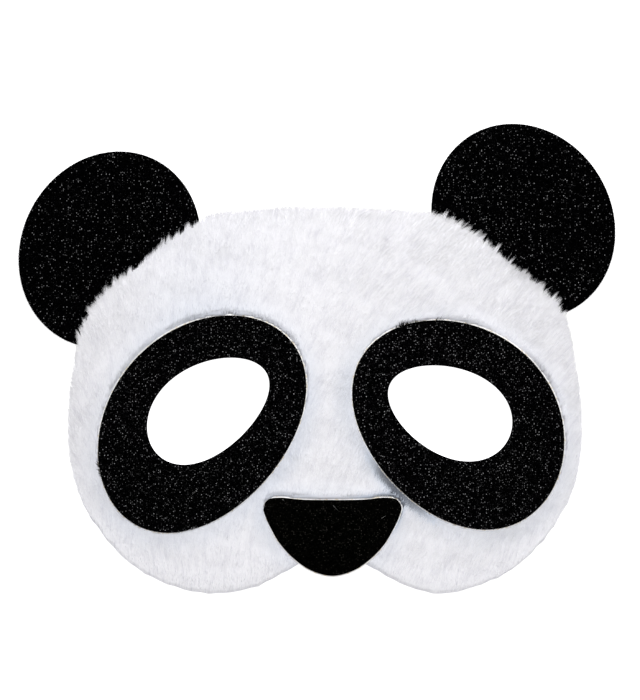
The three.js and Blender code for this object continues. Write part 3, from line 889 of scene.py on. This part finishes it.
def trimmed_tips(places, tip, wisp, randoms):
    """Tips drawn back from the patches, where a few lap over, and from the rim, where wisps go past."""
    count = len(places)
    x, y = places.T
    lapping = LAP * (dice.random(count) < LAPPING_SHARE)
    lapping = lapping + TANGLED_LAP * near_spots(x, y, TANGLES) * dice.random(count)
    tip = shortened(places, tip, pressed_map, dice.uniform(*PATCH_TRIM, count) + lapping)
    stray_reach = STRAY_REACH * (dice.random(count) < STRAY_SHARE)
    reach = np.where(x > 0, REACH_RIGHT, REACH_LEFT) + TUFT_REACH * randoms[:, 1] ** 2
    reach += EAR_TUFT_REACH * near_spots(x, y, (EAR_TUFT,))
    reach += dice.uniform(*WISP_TRIM, count) + stray_reach
    allowed = RIM_REACH + dice.uniform(*RIM_TRIM, count) * (1 - wisp) + (reach - RIM_REACH) * wisp
    return shortened(places, tip, -face_map, allowed)


def pile_fibres():
    """Roots, tips, widths, tints and shades of the fibres of the pile.

    A root lies just inside the body of the pile, and a tip stands a little above it, high enough for the
    middle of the fibre to clear the body as well.
    """
    places = scattered(FIBRE_SPACING, CLOTH_LOW, CLOTH_HIGH)
    pressed = read_map(pressed_map, *places.T)
    places = places[(read_map(cloth_map, *places.T) > 0) & (pressed < PRESSED_FROM)]
    x, y = places.T
    count = len(x)
    depth = read_map(face_map, x, y)
    tuft, randoms = nearest_tuft(x, y)
    wisp = ease(read_map(ear_map, x, y), -2.5, 0.5) * (1 - ease(depth, 2, 6))
    tip = trimmed_tips(places, leaning_tips(places, depth, wisp, tuft, randoms), wisp, randoms)
    z_root = body_top(x, y) - ROOT_DEPTH
    z_tip = body_top(*tip.T) + dice.uniform(*FIBRE_RISES, count) * (0.8 + 0.4 * randoms[:, 2])
    half_way = (places + tip) / 2
    z_tip = np.maximum(z_tip, 2 * (body_top(*half_way.T) + CLEARANCE) - z_root)
    roots, tips = np.column_stack([places, z_root]), np.column_stack([tip, z_tip])
    widths = dice.uniform(*FIBRE_WIDTHS, count) * (1 - 0.3 * wisp)
    tints = FIBRE_TINT + STREAK_TINT * streaks(x, y) + dice.uniform(-0.2, 0.2, count) + 0.1 * randoms[:, 2]
    # Painted light: fibres near the rim are lighter, as if lit through the thin edge of the pile; a few
    # fibres at random are darker.
    tints += RIM_PAINTED_LIGHT * (1 - ease(depth, 0, 4)) * (1 - wisp) - 0.4 * (dice.random(count) < 0.06)
    # Painted highlight: a thin lighter line of pile along the upper edges of the patches and the nose.
    tints += EDGE_PAINTED_HIGHLIGHT * (1 - ease(-read_map(pressed_map, x, y), 0.3, 3)) * above_pressed(x, y)
    return roots, tips, widths, tints, patch_shade(*tip.T)


fibres = pile_fibres()
order = dice.permutation(len(fibres[0]))
pile_pieces = [
    spikes(f"plush_pile_{part + 1}", *(values[chosen] for values in fibres), plush)
    for part, chosen in enumerate(np.array_split(order, PILE_PIECES))
]
for piece in pile_pieces:
    piece.visible_shadow = False
    piece.visible_diffuse = False
print(len(order), "fibres")

# %% [markdown]
# ## Black cloths
# The ears and patches are a black napped cloth: tiny fibres stand on it and catch the light as fine specks.
# The nose is a smoother felt. The three materials are the same nodes with other numbers: a near-black
# ground with soft clouds, specks from a cell pattern whose brightness differs from cell to cell, and a fine
# bump. The cut edge of the patches and the nose shows a pale core, which an attribute tells from the nap.

# %% Black materials
SPECK, FINE_SPECK, FINE_RARITY = 0.56, 0.36, 2.6
SOFT_CLOUDS, BLOTCHES, NAP = 300.0, 800.0, 2600.0
CORE, CREAM, HAIR = (0.98, 0.97, 0.95), (0.80, 0.72, 0.58), (0.5, 0.49, 0.48)
BLACK, SPECK_LIGHT = (0.0001, 0.0001, 0.00015), (0.42, 0.42, 0.43)
PATCH_FINE, EAR_FINE = (0.026, 0.026, 0.027), (0.012, 0.012, 0.013)
FELT_BLACK, FELT_SPECK, FELT_FINE = (0.0002, 0.0002, 0.00015), (0.05, 0.047, 0.042), (0.012, 0.011, 0.01)


def specks(material, place, size, rarity):
    """Dots in the middle of the cells of a random pattern; the higher the rarity, the fewer are bright."""
    cells = node(material, "ShaderNodeTexVoronoi", {"Vector": place, "Scale": 1 / (size * MM)})
    core = rescaled(material, cells.outputs["Distance"], 0.36, 0.12)
    chance = node(material, "ShaderNodeSeparateColor", {"Color": cells.outputs["Color"]})
    chosen = node(material, "ShaderNodeMath", {0: chance.outputs[0], 1: rarity}, operation="POWER")
    dots = node(material, "ShaderNodeMath", {0: core, 1: chosen.outputs[0]}, operation="MULTIPLY")
    return dots.outputs[0]


def black_cloth(name, ground, speck_light, fine_light, bump, rarity):
    """Near-black cloth with bright and fine dim specks, and a pale core that its cut edge shows.

    Light hairs on it carry a tint of their own.
    """
    material, shader = new_material(name, roughness=0.9, specular=0.002)
    place = node(material, "ShaderNodeTexCoord").outputs["Object"]
    clouds = node(material, "ShaderNodeTexNoise", {"Vector": place, "Scale": SOFT_CLOUDS, "Detail": 6.0})
    soft = rescaled(material, clouds.outputs[0], 0.35, 0.7)
    dark = colour_between(material, soft, ground, tuple(3 * c for c in ground))
    # Painted glints: on the napped cloth these specks stand for light caught by its tiny fibres.
    fine = colour_between(material, specks(material, place, FINE_SPECK, FINE_RARITY), dark, fine_light)
    bright = colour_between(material, specks(material, place, SPECK, rarity), fine, speck_light)
    tip = node(material, "ShaderNodeAttribute", attribute_name="tint").outputs["Fac"]
    tipped = colour_between(material, tip, bright, HAIR)
    core = node(material, "ShaderNodeAttribute", attribute_name="core").outputs["Fac"]
    blotches = node(material, "ShaderNodeTexNoise", {"Vector": place, "Scale": BLOTCHES, "Detail": 2.0})
    cut_edge = colour_between(material, rescaled(material, blotches.outputs[0], 0.36, 0.46), CREAM, CORE)
    colour = colour_between(material, rescaled(material, core, 0.45, 0.55), tipped, cut_edge)
    connect(material, colour, shader.inputs["Base Color"])
    nap = node(material, "ShaderNodeTexNoise", {"Vector": place, "Scale": NAP, "Detail": 2.0})
    bumped = node(
        material, "ShaderNodeBump", {"Height": nap.outputs[0], "Distance": 0.0004, "Strength": bump},
    )
    connect(material, bumped.outputs[0], shader.inputs["Normal"])
    return material


flock = black_cloth("black_napped_cloth", BLACK, SPECK_LIGHT, PATCH_FINE, 0.5, 5.5)
ear_flock = black_cloth("black_napped_ear_cloth", BLACK, SPECK_LIGHT, EAR_FINE, 0.5, 9.5)
felt = black_cloth("black_felt", FELT_BLACK, FELT_SPECK, FELT_FINE, 0.25, 4)
print("black materials:", flock.name, ear_flock.name, felt.name)

# %% [markdown]
# ## Ears and nose
# Each is a disc of cloth with softly rounded cut edges. A short profile goes from the middle of the
# underside out to the edge, round it and back over the top, and is carried round the outline. Its points
# keep their distance from the edge near it and shrink towards the middle further in. The nose's edge has a
# step, because its pale core sticks out a little past the black nap.

# %% Discs and rings of cloth
EDGE_ROUNDING, CORE_ROUNDING = 0.8, 0.25
CORE_SHARE = 0.8


def edge_profile(thickness, core=False):
    """How far in from the edge and how high the points of a cloth's edge lie, from its underside to its top.

    A quarter circle, a wall and another quarter circle. Where the pale core shows, the wall first stops at
    the top of the core, and the black nap starts a little further in.
    """
    turn = np.linspace(0, math.pi / 2, 6)
    across, up = 1 - np.sin(turn), 1 - np.cos(turn)
    foot = CORE_ROUNDING if core else EDGE_ROUNDING
    lower = np.column_stack([foot * across, foot * up])
    ledge = np.zeros((0, 2))
    rounding = EDGE_ROUNDING
    if core:
        seam = CORE_SHARE * thickness
        ledge = np.array([(0, seam - 0.05), (CORE_LEDGE - 0.04, seam), (CORE_LEDGE, seam + 0.06)])
        rounding = thickness - seam - 0.1
    upper = np.column_stack([rounding * across[::-1], thickness - rounding * up[::-1]])
    upper[:, 0] += CORE_LEDGE if core else 0
    return np.vstack([lower, ledge, upper])


def core_of(heights, thickness, core):
    """1 at the points of the pale core and 0 in the black nap, by their height."""
    return ((heights < CORE_SHARE * thickness + 0.03) & core).astype(float)


def rings_to_faces(rings, count):
    """Squares between each ring of points and the next."""
    i, j = np.meshgrid(np.arange(rings - 1), np.arange(count), indexing="ij")
    here, there = i * count, (i + 1) * count
    ahead = (j + 1) % count
    return np.stack([here + j, here + ahead, there + ahead, there + j], axis=-1).reshape(-1, 4)


def cloth_disc(name, rim, underside, thickness, material, core=False, rings=26):
    """A disc of cloth: rings of the outline, from the middle of its underside, over the edge, to its top."""
    middle = rim.mean(axis=0)
    profile = edge_profile(thickness, core)
    below, above = (moved_in(rim, profile[end, 0]) for end in (0, -1))
    shares = np.linspace(0.012, 1, rings)[:-1]
    flat = [middle + (below - middle) * share for share in shares]
    flat += [moved_in(rim, inset) for inset, _ in profile]
    flat += [middle + (above - middle) * share for share in shares[::-1]]
    heights = np.concatenate([np.zeros(len(shares)), profile[:, 1], np.full(len(shares), thickness)])
    heights = np.append(np.repeat(heights, len(rim)), [0, thickness])
    flat = np.vstack([*flat, middle, middle])
    points = standing(flat, heights, underside)
    count = len(rim)
    loops = (len(points) - 2) // count
    squares = rings_to_faces(loops, count)
    spokes = np.arange(count)
    ahead = (spokes + 1) % count
    last = (loops - 1) * count
    first_pole = np.column_stack([np.full(count, len(points) - 2), ahead, spokes])
    last_pole = np.column_stack([np.full(count, len(points) - 1), last + spokes, last + ahead])
    triangles = np.vstack([squares[:, [0, 1, 2]], squares[:, [0, 2, 3]], first_pole, last_pole])
    if turning(rim) < 0:
        triangles = triangles[:, ::-1]
    core_points = core_of(heights, thickness, core)
    return make_piece(name, points, triangles, [material], attributes={"core": core_points})


def standing(flat, height, underside):
    """Flat points set at a height above a surface, measured square to it."""
    x, y = flat.T
    return np.column_stack([flat, underside(x, y) + height * slope_stretch(x, y)])


ears = {
    side: cloth_disc(f"ear_cloth_{NAMES[side]}", ear_outline[side], arch_height, EAR_THICKNESS, ear_flock)
    for side in NAMES
}
nose = cloth_disc("nose_felt", nose_core_rim, on_seat, NOSE_THICKNESS, felt, core=True)

# %% [markdown]
# ## Eye patches
# A patch is a ring of the same cloth. Its profile is a closed loop: over the top from the outer edge to the
# hole, down the hole's edge, back along the underside and up the outer edge. Both outlines are looked up at
# the same angle from the hole's middle, so the profile always runs straight from one to the other. The
# outer edge has the pale step that the nose has.

# %% The patches


def at_angles(rim, middle, angles):
    """Where rays from the middle cross an outline."""
    offset = rim - middle
    angle = np.unwrap(np.arctan2(offset[:, 1], offset[:, 0]))
    order = np.argsort(angle % (2 * math.pi))
    radius = np.interp(
        angles, (angle % (2 * math.pi))[order], np.hypot(*offset.T)[order], period=2 * math.pi,
    )
    return middle + radius[:, None] * np.column_stack([np.cos(angles), np.sin(angles)])


def cloth_ring(name, outer, inner, underside, thickness, material, count=200, across=14):
    """A ring of cloth between two outlines, whose profile runs round both edges.

    The outer edge shows the cloth's pale core.
    """
    middle = inner.mean(axis=0)
    angles = np.linspace(0, 2 * math.pi, count, endpoint=False)
    outer, inner = at_angles(outer, middle, angles), at_angles(inner, middle, angles)
    outside, inside = edge_profile(thickness, core=True), edge_profile(thickness)[::-1]
    outer_edge = [moved_in(outer, inset) for inset, _ in outside]
    inner_edge = [moved_in(inner, -inset) for inset, _ in inside]
    between = np.linspace(0, 1, across)[1:-1]
    top = [outer_edge[-1] + (inner_edge[0] - outer_edge[-1]) * share for share in between]
    bottom = [inner_edge[-1] + (outer_edge[0] - inner_edge[-1]) * share for share in between]
    flat = outer_edge + top + inner_edge + bottom
    heights = np.concatenate([
        outside[:, 1], np.full(len(between), thickness), inside[:, 1], np.zeros(len(between)),
    ])
    at_outside = np.arange(len(heights)) < len(outside)
    core = np.repeat(core_of(heights, thickness, at_outside), count)
    points = standing(np.vstack(flat), np.repeat(heights, count), underside)
    squares = rings_to_faces(len(flat), count)
    closing = np.arange(count)
    ahead = (closing + 1) % count
    last = (len(flat) - 1) * count
    squares = np.vstack([squares, np.column_stack([last + closing, last + ahead, ahead, closing])])
    return make_piece(name, points, squares, [material], attributes={"core": core})


patches = {
    side: cloth_ring(
        f"patch_cloth_{NAMES[side]}", core_rim[side], hole_rim[side], on_seat, PATCH_THICKNESS, flock,
    )
    for side in NAMES
}

# %% [markdown]
# ## Fuzz and lint
# The nap frays where the black cloth is cut. Short black spikes stick out along each outline, longer and
# tangled at a few spots, where they lean up the lie of the pile. Five stray hairs of lint lie on the black,
# and a table gives the place of both their ends.

# %% The frayed edges
FUZZ_PER_MM, FUZZ_WIDTHS = 7, (0.12, 0.24)
FRAYED_REACH, FRAYED_HEIGHTS = 1.4, (0.2, 0.6)
FUZZ_SPOTS = (*TANGLES, (30, 27, 2), (38.5, 27.6, 1.5), (-45, -45, 2))
DUSTY_SHARE, DUSTY_TINT = 0.1, 0.12
LINT_WIDTH, LINT_TINT = 0.13, 0.5
LINT = {
    "nose_fuzz": ((2.8, -35.8, 4.6, -37.7), (19.2, -40.1, 21.0, -39.0), (-14.5, -33.6, -13.6, -34.4)),
    "patch_fuzz_left": ((-45.1, -32.1, -42.7, -29.7), (-68.5, -13.4, -67.4, -12.0)),
}


def fuzz(name, rim, underside, thickness, material, longest):
    """Short spikes along an outline, from the edge of the nap outwards, and the hairs of lint on the cloth.

    A spike's root is a random place along the outline. Its tip goes out of it, turned a little to one side,
    by a random length. At the frayed spots it goes further and higher, and partly up the lie of the pile.
    """
    length = np.linalg.norm(np.roll(rim, -1, axis=0) - rim, axis=1).sum()
    place = dice.random(int(FUZZ_PER_MM * length)) * len(rim)
    count = len(place)
    low = place.astype(int)
    share = (place - low)[:, None]
    edge = rim[low] * (1 - share) + rim[(low + 1) % len(rim)] * share
    inward = normals_in(rim)[low]
    turned = np.column_stack([-inward[:, 1], inward[:, 0]]) * dice.normal(0, 0.5, count)[:, None]
    frayed = near_spots(*edge.T, FUZZ_SPOTS)
    out = 0.05 + longest * dice.random(count) ** 3 + FRAYED_REACH * frayed * dice.random(count)
    up_the_lie = way_of(pile_lean(*edge.T)) * frayed[:, None]
    roots = edge + 0.15 * inward
    tips = edge + (turned - inward + up_the_lie) * out[:, None]
    z_root = underside(*roots.T) + 0.9 * thickness * slope_stretch(*roots.T)
    height = thickness * (dice.uniform(0.8, 1.05, count) + frayed * dice.uniform(*FRAYED_HEIGHTS, count))
    z_tip = underside(*tips.T) + height * slope_stretch(*tips.T)
    grey = DUSTY_TINT * (dice.random(count) < DUSTY_SHARE)
    widths = dice.uniform(*FUZZ_WIDTHS, count)
    hairs = np.array(LINT.get(name, ())).reshape(-1, 4)
    ends = hairs[:, :2], hairs[:, 2:]
    level = [underside(*end.T) + (thickness + 0.1) * slope_stretch(*end.T) for end in ends]
    roots = np.column_stack([np.vstack([roots, ends[0]]), np.concatenate([z_root, level[0]])])
    tips = np.column_stack([np.vstack([tips, ends[1]]), np.concatenate([z_tip, level[1]])])
    widths = np.concatenate([widths, np.full(len(hairs), LINT_WIDTH)])
    grey = np.concatenate([grey, np.full(len(hairs), LINT_TINT)])
    return spikes(name, roots, tips, widths, grey, np.zeros(len(roots)), material)


edges = {
    "nose_fuzz": (nose_rim, on_seat, NOSE_THICKNESS, felt, 0.1),
    "ear_fuzz_left": (ear_outline[LEFT], arch_height, EAR_THICKNESS, ear_flock, 0.25),
    "ear_fuzz_right": (ear_outline[RIGHT], arch_height, EAR_THICKNESS, ear_flock, 0.25),
    "patch_fuzz_left": (patch_rim[LEFT], on_seat, PATCH_THICKNESS, flock, 0.25),
    "patch_fuzz_right": (patch_rim[RIGHT], on_seat, PATCH_THICKNESS, flock, 0.25),
}
fuzz_pieces = {name: fuzz(name, *values) for name, values in edges.items()}

# %% [markdown]
# ## The floor and the light
# The photograph's ground is pure white, like a table lit from below, so the floor is white and glows a
# little. The light is a bright even sky, with one large soft lamp above the top of the mask that makes the
# sides and cheeks a shade darker, as in the photograph.

# %% Floor, sky and lamp
SKY, FLOOR_GLOW = 0.565, 0.75
REACH = 2.5
LAMP_POWER, LAMP_SIZE, LAMP_PLACE = 2.7, 0.4, (0.07, 0.37, 0.47)

floor_mesh = bpy.data.meshes.new("floor")
corners = [(x, y, 0) for x, y in ((-REACH, -REACH), (REACH, -REACH), (REACH, REACH), (-REACH, REACH))]
floor_mesh.from_pydata(corners, [], [(0, 1, 2, 3)])
floor = bpy.data.objects.new("floor", floor_mesh)
bpy.context.scene.collection.objects.link(floor)
white, shader = new_material("floor_white", roughness=0.9, specular=0.1)
shader.inputs["Base Color"].default_value = (0.9, 0.9, 0.9, 1)
shader.inputs["Emission Color"].default_value = (1, 1, 1, 1)
shader.inputs["Emission Strength"].default_value = FLOOR_GLOW
floor_mesh.materials.append(white)

world = bpy.data.worlds.new("studio")
world.use_nodes = True
world.node_tree.nodes["Background"].inputs["Color"].default_value = (1, 1, 1, 1)
world.node_tree.nodes["Background"].inputs["Strength"].default_value = SKY
bpy.context.scene.world = world

lamp_data = bpy.data.lights.new("soft_lamp", "AREA")
lamp_data.shape, lamp_data.size, lamp_data.energy = "DISK", LAMP_SIZE, LAMP_POWER
lamp = bpy.data.objects.new("soft_lamp", lamp_data)
lamp.location = LAMP_PLACE
lamp.rotation_euler = (-lamp.location).to_track_quat("-Z", "Y").to_euler()
bpy.context.scene.collection.objects.link(lamp)
bpy.context.scene.view_settings.view_transform = "Standard"
bpy.context.scene.cycles.use_denoising = True
print("sky, glow of the floor and lamp:", SKY, FLOOR_GLOW, LAMP_POWER)

# %% [markdown]
# ## Pieces in place of the solids
# Every piece hangs from the root of the model, and the solid that it stands for is hidden.

# %% Hang the pieces and hide their solids
for part in (plush_cloth, *pile_pieces):
    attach(part, "root")
    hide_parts("plush_face")
for side, name in NAMES.items():
    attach(ears[side], "root")
    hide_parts(f"ear_{name}")
    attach(patches[side], "root")
    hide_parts(f"eye_patch_{name}")
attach(nose, "root")
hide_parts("nose")
for name, part in fuzz_pieces.items():
    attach(part, "root")
    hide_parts(name.replace("patch_fuzz", "eye_patch").replace("_fuzz", ""))
